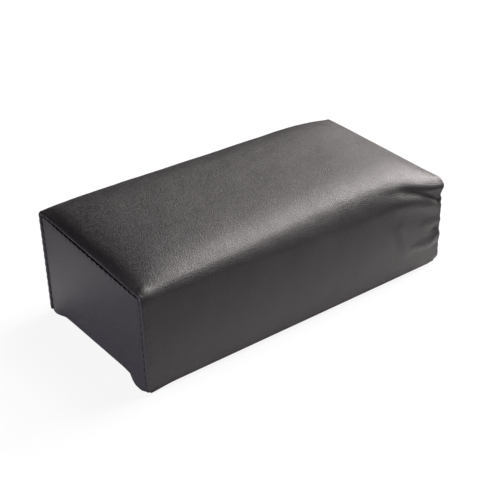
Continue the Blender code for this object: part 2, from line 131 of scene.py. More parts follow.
class Graph:
    """The node tree of one material, or of a world."""

    def __init__(self, name: str, owners: str = "materials") -> None:
        """Make an empty material of a name, or another owner of a node tree."""
        self.owner = getattr(bpy.data, owners).new(name)
        self.owner.use_nodes = True
        self.tree = self.owner.node_tree
        self.tree.nodes.clear()

    def node(self, kind: str, sockets: dict | None = None, **settings: str) -> bpy.types.Node:
        """Add one node.

        Args:
            kind: What the node's type name says after ShaderNode.
            sockets: Values or wires by the name or number of its input.
            settings: Its own settings, set first.

        Returns:
            The new node.
        """
        node = self.tree.nodes.new(f"ShaderNode{kind}")
        for key, value in settings.items():
            setattr(node, key, value)
        for key, value in (sockets or {}).items():
            self.feed(node.inputs[key], value)
        return node

    def feed(self, socket: Socket, value: object) -> None:
        """Link a wire or an output to a socket, or set its value."""
        value = value.socket if isinstance(value, Wire) else value
        if isinstance(value, Socket):
            self.tree.links.new(value, socket)
        else:
            socket.default_value = value

    def wire(self, kind: str, sockets: dict, output: str | int = 0, **settings: str) -> Wire:
        """Add a node and take one of its outputs as a wire."""
        return Wire(self, self.node(kind, sockets, **settings).outputs[output])

    def place(self) -> Socket:
        """The object coordinates, in metres."""
        return self.node("TexCoord").outputs["Object"]

    def along(self, vector: Socket, axis: str) -> Wire:
        """One coordinate of a place as a value."""
        return self.wire("SeparateXYZ", {"Vector": vector}, axis)

    def noise(self, place: object, scale: float, detail: float = 2.0, rough: float = 0.5) -> Wire:
        """Soft noise from 0 to 1."""
        sockets = {"Vector": place, "Scale": scale, "Detail": detail, "Roughness": rough}
        return self.wire("TexNoise", sockets)

    def cells(self, place: object, size: float, randomness: float = 1.0,
              feature: str = "F1") -> Wire:
        """A distance in a pattern of cells of a size: to their points, or to their edges."""
        sockets = {"Vector": place, "Scale": 1 / size, "Randomness": randomness}
        return self.wire("TexVoronoi", sockets, feature=feature)

    def mix(self, factor: object, low: tuple, high: tuple) -> Socket:
        """A colour between two colours, or wires of colours."""
        node = self.node("Mix", data_type="RGBA")
        self.feed(node.inputs[0], factor)
        for socket, colour in ((node.inputs[6], low), (node.inputs[7], high)):
            self.feed(socket, (*colour, 1.0) if isinstance(colour, tuple) else colour)
        return node.outputs[2]

    def stretched(self, place: object, scale: Triple) -> Socket:
        """Coordinates scaled along each axis."""
        return self.node("Mapping", {"Vector": place, "Scale": scale}).outputs[0]

    def surface(self, sockets: dict, height: Wire, depth: float) -> Material:
        """Close the graph with a Principled surface.

        Args:
            sockets: Values or wires of the surface's inputs.
            height: Relief from 0 to 1.
            depth: The relief's depth in metres.

        Returns:
            The finished material.
        """
        relief = {"Strength": 1.0, "Distance": depth, "Height": height}
        bump = self.node("Bump", relief).outputs[0]
        shader = self.node("BsdfPrincipled", {**sockets, "Normal": bump})
        self.node("OutputMaterial", {"Surface": shader.outputs[0]})
        return self.owner


Pattern = tuple[Wire, Wire, dict]


@dataclass(frozen=True)
class Leatherette:
    """Coated cloth with a fine pebble grain.

    The grain is small rounded pebbles with creases between them, over a softer roll of the
    backing cloth. Above a level its colour is speckled: the pebbles lighter, partly as wear and
    partly as painted glints of the light from above, and the creases darker as painted shade.
    A band beside the seams is darkened as painted shade, and the hem as painted shadow.
    """

    name: str
    colour: Triple = (0.0185, 0.0182, 0.0190)
    # Lighter tone: real wear everywhere, and painted glints of the grain on the top.
    worn_and_glint: Triple = (0.0345, 0.0335, 0.0345)
    # Tone of painted shade: grain creases on the top, the band beside the seams, the hem.
    painted_shade: Triple = (0.0060, 0.0055, 0.0055)
    pebble: float = 0.0019
    speckle: float = 0.0021
    speckled_above: float | None = None
    # Where the painted shade beside the seams starts, from the middle, and how fast it fades in.
    seam_shade_from: float = 0.136
    seam_shade_fade: float = 0.009
    # Below this level the hem is darkened as painted shadow.
    hem_level: float = 0.0064
    hem_fade: float = 0.0014
    relief: float = 0.00020
    roughness: float = 0.43

    def material(self) -> Material:
        """Make the material."""
        graph = Graph(self.name)
        place = graph.place()
        edge = graph.cells(place, self.pebble, 0.95, "DISTANCE_TO_EDGE")
        pebble = (edge * 3.2).clamped() ** 0.6
        fine = graph.noise(place, 3.2 / self.pebble, 2.0)
        patches = graph.noise(place, 16.0, 3.0, 0.55)
        backing = graph.noise(graph.stretched(place, (1.0, 1.0, 0.7)), 150.0, 2.0)
        height = pebble * 0.62 + fine * 0.22 + backing * 0.16
        wear = (patches * 0.75 + fine * 0.25).clamped()
        colour = graph.mix(wear, self.colour, self.worn_and_glint)
        # Above speckled_above the grains are lighter, partly wear and partly painted glints of the
        # light from above, and the gaps between them darker as painted shade.
        if self.speckled_above is not None:
            grains = (graph.noise(place, 1 / self.speckle, 1.0) * 4.0 - 1.5).clamped()
            high = ((graph.along(place, "Z") - self.speckled_above) * 60.0).clamped()
            # Painted shade in a band beside the end seams, on the top.
            past = (graph.along(place, "X").absolute() - self.seam_shade_from) / self.seam_shade_fade
            seam_shade = (past + patches - 0.5).clamped()
            # Painted shadow along the hem, below its level.
            hem_shadow = ((self.hem_level - graph.along(place, "Z")) / self.hem_fade).clamped()
            for share, tint in (
                (grains * high, self.worn_and_glint), ((1 - grains) * high * 0.6, self.painted_shade),
                (seam_shade * high, self.painted_shade), (hem_shadow * 0.9, self.painted_shade),
            ):
                colour = graph.mix(share, colour, tint)
        rough = (1 - pebble) * 0.10 + patches * 0.08 + (self.roughness - 0.04)
        sockets = {"Base Color": colour, "Roughness": rough, "Specular IOR Level": 0.5}
        return graph.surface(sockets, height, self.relief)


@dataclass(frozen=True)
class Finish:
    """A procedural material with two colours and a relief from one pattern.

    Attributes:
        name: The material's name.
        low: Its colour where the pattern is 0.
        high: Its colour where the pattern is 1.
        depth: Depth of its relief in metres.
    """

    name: str
    low: Triple
    high: Triple
    depth: float

    def pattern(self, graph: Graph, place: Socket) -> Pattern:
        """The share of the high colour, the relief, and the surface's other inputs."""
        raise NotImplementedError

    def material(self) -> Material:
        """Make the material."""
        graph = Graph(self.name)
        share, height, sockets = self.pattern(graph, graph.place())
        colour = graph.mix(share, self.low, self.high)
        return graph.surface({"Base Color": colour, **sockets}, height, self.depth)


@dataclass(frozen=True)
class Foam(Finish):
    """Open-cell polyurethane foam, cut from a block and a little aged."""

    name: str = "cut_foam"
    low: Triple = (0.62, 0.55, 0.38)
    high: Triple = (0.74, 0.70, 0.55)
    depth: float = 0.0003
    cell: float = 0.0009

    def pattern(self, graph: Graph, place: Socket) -> Pattern:
        """Open cells over broad patches."""
        cells = graph.cells(place, self.cell)
        shade = (cells * 0.5 + graph.noise(place, 9.0, 4.0) * 0.6).clamped()
        return shade, cells, {"Roughness": 0.95}


@dataclass(frozen=True)
class Fibreboard(Finish):
    """Pressed fibreboard with flecks of darker fibre."""

    name: str = "pressed_fibreboard"
    low: Triple = (0.22, 0.14, 0.08)
    high: Triple = (0.40, 0.27, 0.16)
    depth: float = 0.00012

    def pattern(self, graph: Graph, place: Socket) -> Pattern:
        """Fibres along the board, over its pressed layers."""
        fibres = graph.noise(graph.stretched(place, (0.35, 1.0, 4.0)), 900.0, 4.0, 0.6)
        layers = graph.noise(graph.stretched(place, (1.0, 1.0, 30.0)), 30.0, 3.0)
        return (fibres * 0.7 + layers * 0.35).clamped(), fibres, {"Roughness": 0.82}


@dataclass(frozen=True)
class LiningCloth(Finish):
    """Thin non-woven cloth with the dimples of its bonding."""

    name: str = "non_woven_lining"
    low: Triple = (0.016, 0.016, 0.017)
    high: Triple = (0.038, 0.038, 0.040)
    depth: float = 0.00012
    dimple: float = 0.0016

    def pattern(self, graph: Graph, place: Socket) -> Pattern:
        """Dimples in rows, with fibres across them."""
        bonds = graph.cells(place, self.dimple, 0.15)
        fibres = graph.noise(graph.stretched(place, (3.0, 0.8, 1.0)), 1200.0, 4.0, 0.65)
        height = (bonds * 1.5).clamped() * 0.6 + fibres * 0.4
        return height, height, {"Roughness": 0.9}


@dataclass(frozen=True)
class StapleWire(Finish):
    """Galvanised staple wire with spots of tarnish."""

    name: str = "staple_wire_finish"
    low: Triple = (0.42, 0.41, 0.40)
    high: Triple = (0.62, 0.62, 0.63)
    depth: float = 0.00002

    def pattern(self, graph: Graph, place: Socket) -> Pattern:
        """Fine drawing marks, and spots."""
        marks = graph.noise(place, 2600.0, 3.0)
        spots = graph.noise(place, 420.0, 3.0)
        sockets = {"Metallic": 1.0, "Roughness": marks * 0.18 + 0.26}
        return (spots * 1.3 - 0.2).clamped(), marks, sockets


@dataclass(frozen=True)
class Thread(Finish):
    """Bonded polyester sewing thread."""

    name: str = "sewing_thread"
    low: Triple = (0.0030, 0.0030, 0.0035)
    high: Triple = (0.0075, 0.0075, 0.0080)
    depth: float = 0.00006

    def pattern(self, graph: Graph, place: Socket) -> Pattern:
        """The ply of the thread."""
        ply = graph.noise(graph.stretched(place, (1.0, 1.6, 1.6)), 3000.0, 2.0)
        return ply, ply, {"Roughness": 0.9, "Specular IOR Level": 0.08}


# ---- the stuffed form


@dataclass(frozen=True)
class Fold:
    """A loose fold of the front wall, along a bent line.

    Attributes:
        line: (x, z, height) of each bend, with x counted back from the right end and z from
            the flap. The height is how far the fold stands out there, or dips in where negative.
        width: Half width of its crest.
    """

    line: tuple[Triple, ...]
    width: float

    def height(self, place: Array) -> Array:
        """Height at places, each given as (x, z) like the line's bends."""
        best = np.full(place.shape[:-1], np.inf)
        crest = np.zeros(place.shape[:-1])
        for first, second in zip(self.line, self.line[1:]):
            start, run = np.array(first[:2]), np.array(second[:2]) - np.array(first[:2])
            t = np.clip((place - start) @ run / (run @ run), 0, 1)
            away = np.linalg.norm(place - start - t[..., None] * run, axis=-1)
            nearer = away < best
            best = np.where(nearer, away, best)
            crest = np.where(nearer, first[2] + (second[2] - first[2]) * t, crest)
        return crest * np.exp(-((best / self.width) ** 2))


@dataclass(frozen=True)
class Form:
    """The cushion's outer face: a straight box with soft edges, swelled by its stuffing.

    Rows run round the section from the front foot over the top to the rear foot. All sizes
    are in metres. The knob is the overhang of the right front corner, and its reach is given
    along, across and up. The edge's reach is in radii, and its handle in reaches.
    """

    length: float = 0.300
    width: float = 0.150
    wall: float = 0.087
    crown: float = 0.0136
    crown_tilt: float = 0.29
    crown_length_power: float = 6.4
    crown_width_power: float = 5.4
    side_bulge: float = 0.0020
    left_edge_radius: float = 0.0044
    right_edge_radius: float = 0.0105
    end_edge_radius: float = 0.0041
    edge_fade: float = 0.025
    edge_change_place: float = -0.020
    edge_change_length: float = 0.150
    corner_lift: tuple[tuple[int, int, float], ...] = (
        (-1, 1, 0.0100), (-1, -1, 0.0005), (1, -1, -0.0046), (1, 1, -0.0019),
    )
    shoulder: float = 0.0029
    shoulder_rise: float = 0.0082
    shoulder_fade: float = 0.060
    puff: float = 0.0012
    puff_inset: float = 0.0060
    puff_reach: float = 0.0048
    knob: float = 0.0018
    knob_level: float = 0.085
    knob_reach: Triple = (0.012, 0.014, 0.008)
    uneven: float = 0.00010
    swells: int = 9
    swell_length: float = 0.052
    edge_reach: float = 1.2
    edge_handle: float = 0.45
    folds_above_wall: float = 0.006
    flap_level: float = 0.006
    foam_base: float = 0.0123
    wall_rows: int = 64
    edge_rows: int = 16
    top_rows: int = 110
    folds: tuple[Fold, ...] = ()

    @property
    def rows(self) -> int:
        """How many points a section has."""
        return 2 * self.wall_rows + 2 * (self.edge_rows + 1) + self.top_rows - 1

    @property
    def corner_row(self) -> int:
        """The row in the middle of the front edge's rounding."""
        return self.wall_rows + self.edge_rows // 2

    def shares(self, x: Array, y: Array) -> tuple[Array, Array]:
        """Places in plan as shares of half the length and half the width."""
        return np.clip(2 * x / self.length, -1, 1), np.clip(2 * y / self.width, -1, 1)

    def top_lift(self, x: Array, y: Array) -> Array:
        """How far the stuffing lifts the top at places in plan."""
        u, v = self.shares(x, y)
        corners = sum(
            lift * (1 + sx * u) * (1 + sy * v) / 4 for sx, sy, lift in self.corner_lift
        )
        dome = (1 - abs(u) ** self.crown_length_power) * (1 - abs(v) ** self.crown_width_power)
        from_left = np.clip(x + self.length / 2, 0, None)
        risen = 1 - np.exp(-from_left / self.shoulder_rise)
        turn_down = risen * np.exp(-from_left / self.shoulder_fade)
        shoulder = self.shoulder * turn_down * (1 - abs(v) ** 3)
        from_front = y + self.width / 2 - self.puff_inset
        off = np.hypot(from_left - self.puff_inset, from_front) / self.puff_reach
        puff = self.puff * np.exp(-off ** 2)
        return corners + self.crown * (1 + self.crown_tilt * u) * dome + shoulder + puff

    def stuffed(self, x: Array, y: Array, z: Array) -> Array:
        """Where the stuffing presses points of the straight box.

        Args:
            x: Places along the length.
            y: Places across the width.
            z: Heights.

        Returns:
            The pressed points, one per row.
        """
        u, v = self.shares(x, y)
        rise = smooth((z - self.foam_base) / (self.wall - self.foam_base))
        up = np.clip((z - self.flap_level) / (self.wall - self.flap_level), 0, 1)
        bulge = self.side_bulge * 4 * up * (1 - up) * v * (1 - u ** 4)
        along, across, high = self.knob_reach
        off = ((self.length / 2 - x) / along) ** 2 + ((y + self.width / 2) / across) ** 2
        knob = self.knob * np.exp(-off - ((z - self.knob_level) / high) ** 2)
        return np.stack([x + knob, y + bulge, z + rise * self.top_lift(x, y)], axis=-1)

    def edge_radius(self, x: Array) -> Array:
        """Radius of the long top edges, softer to the right and tight at the end seams."""
        from_end = self.length / 2 - abs(x)
        change = smooth((x - self.edge_change_place) / self.edge_change_length + 0.5)
        body = self.left_edge_radius + (self.right_edge_radius - self.left_edge_radius) * change
        away = 1 - np.exp(-from_end / self.edge_fade)
        return self.end_edge_radius + (body - self.end_edge_radius) * away

    def straight(self, x: Array, foot: float | Array) -> tuple[Array, Array]:
        """Section of the straight box, one (y, z) for each row."""
        reach = self.edge_reach * self.edge_radius(x)
        handle = self.edge_handle * reach
        edge_foot = self.wall - reach
        walls, edges = self.wall_rows, self.edge_rows + 1
        half = self.width / 2
        y = np.zeros(self.rows)
        z = np.zeros(self.rows)
        share = np.arange(walls) / walls
        t = np.linspace(0, 1, edges)
        foot = np.broadcast_to(foot, (self.rows,))
        for mirror in (1, -1):
            rows = np.arange(self.rows)[::mirror]
            wall_rows = rows[:walls]
            y[wall_rows] = -mirror * half
            z[wall_rows] = foot[wall_rows] + share * (edge_foot[wall_rows] - foot[wall_rows])
            edge_rows = rows[walls:walls + edges]
            below = (1 - t) ** 3 * reach[edge_rows] + 3 * (1 - t) ** 2 * t * handle[edge_rows]
            inward = t ** 3 * reach[edge_rows] + 3 * (1 - t) * t * t * handle[edge_rows]
            y[edge_rows] = -mirror * (half - inward)
            z[edge_rows] = self.wall - below
        top = np.arange(walls + edges, self.rows - walls - edges)
        ratio = (np.arange(len(top)) + 1) / (len(top) + 1)
        ratio = 0.5 * ratio + 0.25 * (1 - np.cos(np.pi * ratio))
        y[top] = (2 * ratio - 1) * (half - reach[top])
        z[top] = self.wall
        return y, z

    def section(self, x: float | Array, foot: float | Array) -> Array:
        """The outer face's points at a station, or at a station of its own for each row."""
        x = np.broadcast_to(np.asarray(x, float), (self.rows,)).copy()
        y, z = self.straight(x, foot)
        return self.stuffed(x, y, z)

    def unevenness(self, points: Array) -> Array:
        """Shallow swells of the filling under the cover, as a height at each point.

        Each swell is shorter and weaker than the last, and runs at the golden angle to it.
        """
        swell = np.zeros(points.shape[:-1])
        for turn in range(self.swells):
            angle = 2.399963 * turn
            wave = 2 * math.pi / (self.swell_length / 1.22 ** turn)
            way = np.array([math.cos(angle), math.sin(angle), 0.8 * math.cos(2.1 * angle)]) * wave
            swell += np.sin(points @ way + 1.7 * turn) / 1.12 ** turn
        return self.uneven * swell / 2

    def fold_height(self, points: Array) -> Array:
        """Outward height of the loose folds at points of the front wall."""
        place = np.stack([self.length / 2 - points[..., 0], points[..., 2] - self.flap_level], -1)
        height = sum((fold.height(place) for fold in self.folds), np.zeros(points.shape[:-1]))
        below = self.wall + self.folds_above_wall - points[..., 2]
        on_wall = smooth(below / self.right_edge_radius)
        front = points[..., 1] < 0
        return np.where(front, height * on_wall, 0.0)


@dataclass(frozen=True)
class Layers:
    """How far each sewn layer lies below the outer face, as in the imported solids."""

    cover: float = 0.0007
    clearance: float = 0.0006
    roll: float = 0.0011
    turn: float = 0.0012
    allowance: float = 0.008
    trimmed: float = 0.0019
    end_set_back: float = 0.0003
    fold_radius: float = 0.0016
    fold_slack: float = 0.0026
    left_sag: float = 0.0016
    left_sag_length: float = 0.024
    right_rise: float = 0.0028
    right_rise_length: float = 0.012
    flap: float = 0.025
    flap_rise: float = 0.013
    notch: float = 0.026
    stitch: float = 0.0066

    @property
    def main_seam(self) -> float:
        """Inset of the main panel's allowance."""
        return 2 * self.roll

    @property
    def end_seam(self) -> float:
        """Inset of the end panel's allowance."""
        return self.main_seam + self.clearance

    @property
    def face(self) -> float:
        """Inset of the end panel's flat face."""
        return self.end_seam + self.turn


class Spots:
    """Points of the outer face near one end, with their normals and ways out."""

    def __init__(self, form: Form, side: Side, from_end: float | Array, foot: float) -> None:
        """Take the spots of every row at a distance from an end."""
        end = form.length / 2
        step = 0.0007
        self.side = side.value
        self.points = form.section(self.side * (end - from_end), foot)
        inner = form.section(self.side * (end - from_end - step), foot)
        self.outward = unit(self.points - inner)
        along = np.gradient(self.points, axis=0)
        self.normals = unit(self.side * np.cross(self.outward, along))

    def under(self, inset: float | Array, on: float | Array = 0.0) -> Array:
        """Points below the outer face, carried on towards the end if wanted."""
        inset = np.broadcast_to(inset, self.points.shape[:1])[:, None]
        on = np.broadcast_to(on, self.points.shape[:1])[:, None]
        return self.points - self.normals * inset + self.outward * on

    def under_at(self, inset: float, plane: float) -> Array:
        """The points at an inset, carried on to a plane square to the length."""
        start = self.under(inset)
        run = (plane - abs(start[:, 0])) / abs(self.outward[:, 0])
        return start + self.outward * run[:, None]


@dataclass(frozen=True)
class Seam:
    """The stitched joint of one end: where its stitches fall round the section."""

    form: Form
    layers: Layers
    side: Side

    def spots(self, foot: float) -> Spots:
        """The seam's own spots."""
        return Spots(self.form, self.side, self.layers.roll, foot)

    def run(self, foot: float) -> Array:
        """Distance along the seam at each row, from the front foot."""
        points = self.spots(foot).points
        steps = np.linalg.norm(np.diff(points, axis=0), axis=1)
        return np.concatenate([[0.0], np.cumsum(steps)])

    def pull(self, foot: float) -> Array:
        """How strongly each row is drawn in by the thread, from 0 to 1."""
        phase = self.run(foot) / self.layers.stitch
        return (0.5 + 0.5 * np.cos(2 * np.pi * phase)) ** 2

    def allowance(self, inset: float, foot: float, shares: tuple[float, ...]) -> list[Array]:
        """The seam allowance as lines of points, from its free edge out to the seam."""
        seam = self.spots(foot).points
        above = (seam[:, 2] - self.form.foam_base) / self.layers.allowance - 1
        reach = self.layers.trimmed + (self.layers.allowance - self.layers.trimmed) * smooth(above)
        lines = []
        for share in shares:
            spots = Spots(self.form, self.side, self.layers.roll + share * reach, foot)
            lines.append(spots.under(inset))
        return lines


def lay_grid(mesh: Mesh, lines: list[Array]) -> dict:
    """Lay a grid through lines of points.

    Args:
        mesh: The mesh to lay it in.
        lines: One array of points for each column, all as long.

    Returns:
        The grid's vertices by (column, row).
    """
    columns, rows = len(lines), len(lines[0])
    made = bmesh.ops.create_grid(mesh, x_segments=columns - 1, y_segments=rows - 1, size=0.5)
    places = {}
    for vert in made["verts"]:
        column = round((vert.co.x + 0.5) * (columns - 1))
        row = round((vert.co.y + 0.5) * (rows - 1))
        places[column, row] = vert
    for (column, row), vert in places.items():
        vert.co = lines[column][row]
    return places


def face_towards(mesh: Mesh, direction: Triple) -> None:
    """Turn a sheet's faces together, so that its widest one looks in a direction."""
    bmesh.ops.recalc_face_normals(mesh, faces=mesh.faces[:])
    widest = max(mesh.faces, key=lambda face: face.calc_area())
    if widest.normal.dot(Vector(direction)) < 0:
        bmesh.ops.reverse_faces(mesh, faces=mesh.faces[:])


def finished(mesh: Mesh, name: str, finish: Material, thickness: float = 0.0,
             even: bool = True) -> Object:
    """Make a smooth-shaded object from a bmesh.

    Args:
        mesh: The mesh, which is freed.
        name: The piece's name.
        finish: Its material.
        thickness: Thickness of a sheet, which it gets inwards, or 0 for a closed mesh.
        even: Whether a sheet's tight bends are kept at full thickness too.

    Returns:
        The new object, linked to the scene.
    """
    data = bpy.data.meshes.new(name)
    mesh.to_mesh(data)
    mesh.free()
    data.shade_smooth()
    data.set_sharp_from_angle(angle=SHARP_ANGLE)
    data.materials.append(finish)
    piece = bpy.data.objects.new(name, data)
    bpy.context.scene.collection.objects.link(piece)
    if thickness:
        solidify = piece.modifiers.new("thickness", "SOLIDIFY")
        solidify.thickness = thickness
        solidify.offset = -1
        solidify.use_even_offset = even
        solidify.use_quality_normals = True
    LOG.info("%s: %d faces", name, len(data.polygons))
    return piece


def tree_of(points: list) -> KDTree:
    """A search tree of points, by their order."""
    tree = KDTree(len(points))
    for row, point in enumerate(points):
        tree.insert(point, row)
    tree.balance()
    return tree


# ---- the cover


@dataclass
class MainCover:
    """The long panel over back, top and front, rolled in at both end seams."""

    form: Form
    layers: Layers
    finish: Leatherette
    cut: tuple[float, float] = (0.316, 0.390)
    column_step: float = 0.0032
    roll_steps: int = 8
    fold_steps: int = 4
    flap_steps: int = 5
    pucker: float = 0.00030
    pucker_reach: float = 0.0032
    even_from_end: float = 0.004
    even_fade: float = 0.012
    near_end: tuple[float, ...] = (0.0022, 0.0034, 0.0048, 0.0064, 0.0082, 0.0102, 0.0126)
    past_end: float = 0.0152

    def hem(self, x: Array | float) -> Array:
        """Level of the lower fold: it sags at the left corners and is drawn up at the right."""
        layers, half = self.layers, self.form.length / 2
        sag = layers.left_sag * (1 - smooth((half + x) / layers.left_sag_length))
        rise = layers.right_rise * (1 - smooth((half - x) / layers.right_rise_length))
        return self.form.flap_level - layers.fold_slack - sag + rise

    def under_fold(self, side: int, x: float) -> Array:
        """The flap and lower fold of one side, from the free edge to the foot of the wall."""
        layers, half = self.layers, side * self.form.width / 2
        points = []
        for reach in np.linspace(layers.flap, layers.flap_rise, self.flap_steps):
            points.append((x, half - side * reach, self.form.flap_level))
        for angle in np.linspace(0, math.pi / 2, self.fold_steps + 1)[:-1]:
            back = layers.fold_radius * (1 - math.sin(angle))
            up = layers.fold_radius * (1 - math.cos(angle))
            points.append((x, half - side * back, float(self.hem(x)) + up))
        return np.array(points)

    def end_lines(self, side: Side) -> list[Array]:
        """The rolled end as lines of points, from the allowance's free edge outwards."""
        foot = self.foot(side.value * self.form.length / 2)
        seam = Seam(self.form, self.layers, side)
        lines = seam.allowance(self.layers.main_seam, foot, (1.0, 0.5, 0.0))
        spots, pull = seam.spots(foot), seam.pull(foot)
        for angle in np.linspace(math.pi, 0, self.roll_steps + 1)[1:]:
            drawn = self.pucker * pull
            inset = self.layers.roll * (1 - math.cos(angle)) + drawn * math.sin(angle / 2) ** 0.5
            on = self.layers.roll * math.sin(angle) - 0.6 * drawn
            lines.append(spots.under(inset, on))
        return lines

    def stations(self) -> Array:
        """Places along the length between the rolls, closer near the ends."""
        near = np.array(self.near_end)
        half = self.form.length / 2
        first = half - self.past_end
        count = round(2 * first / self.column_step)
        middle = np.linspace(-first, first, count + 1)
        return np.concatenate([-(half - near), middle, (half - near)[::-1]])

    def foot(self, x: float) -> float:
        """Level at which the walls start, above the lower fold."""
        return float(self.hem(x)) + self.layers.fold_radius

    def station_line(self, x: float) -> Array:
        """The section at a station, drawn in near the stitches and uneven from there on."""
        form, foot = self.form, self.foot(x)
        line = form.section(x, foot)
        side = Side.LEFT if x < 0 else Side.RIGHT
        from_end = form.length / 2 - abs(x)
        pull = Seam(form, self.layers, side).pull(self.foot(side.value * form.length / 2))
        near = np.exp(-((from_end - self.layers.roll) / self.pucker_reach) ** 2)
        dip = self.pucker * pull * near
        dip -= form.unevenness(line) * smooth((from_end - self.even_from_end) / self.even_fade)
        return line - Spots(form, side, from_end, foot).normals * dip[:, None]

    def build(self) -> Object:
        form, layers = self.form, self.layers
        columns = [(None, line) for line in self.end_lines(Side.LEFT)]
        columns += [(x, self.station_line(x)) for x in self.stations()]
        columns += [(None, line) for line in reversed(self.end_lines(Side.RIGHT))]
        lines = []
        for x, line in columns:
            at = float(line[0, 0]) if x is None else float(x)
            line = line.copy()
            line[:, 1] -= form.fold_height(line)
            front, rear = self.under_fold(-1, at), self.under_fold(1, at)
            lines.append(np.concatenate([front, line, rear[::-1]]))
        mesh = bmesh.new()
        places = lay_grid(mesh, lines)
        last = len(lines[0]) - 1
        spare = self.flap_steps + self.fold_steps
        beyond = []
        for (column, row), vert in places.items():
            from_edge = min(row, last - row)
            hooked = columns[column][0] is None and from_edge < spare
            at_end = form.length / 2 - abs(vert.co.x) < layers.notch
            notched = at_end and from_edge < self.flap_steps
            if hooked or notched:
                beyond.append(vert)
        bmesh.ops.delete(mesh, geom=beyond, context="VERTS")
        face_towards(mesh, (0, 0, 1))
        piece = finished(mesh, "cover_main_panel", self.finish.material(), layers.cover)
        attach(piece, "root")
        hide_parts("main_panel")
        return piece


@dataclass(frozen=True)
class Tab:
    """How a folded corner shows below the end panel.

    Attributes:
        depth: How far it hangs below the flap.
        flat: How far it runs level from the corner.
        reach: Where it meets the panel's lower edge, from the corner.
        power: How suddenly it turns up.
        flare: How far it leans out beyond the panel at its lowest.
    """

    depth: float
    flat: float
    reach: float
    power: float
    flare: float = 0.0


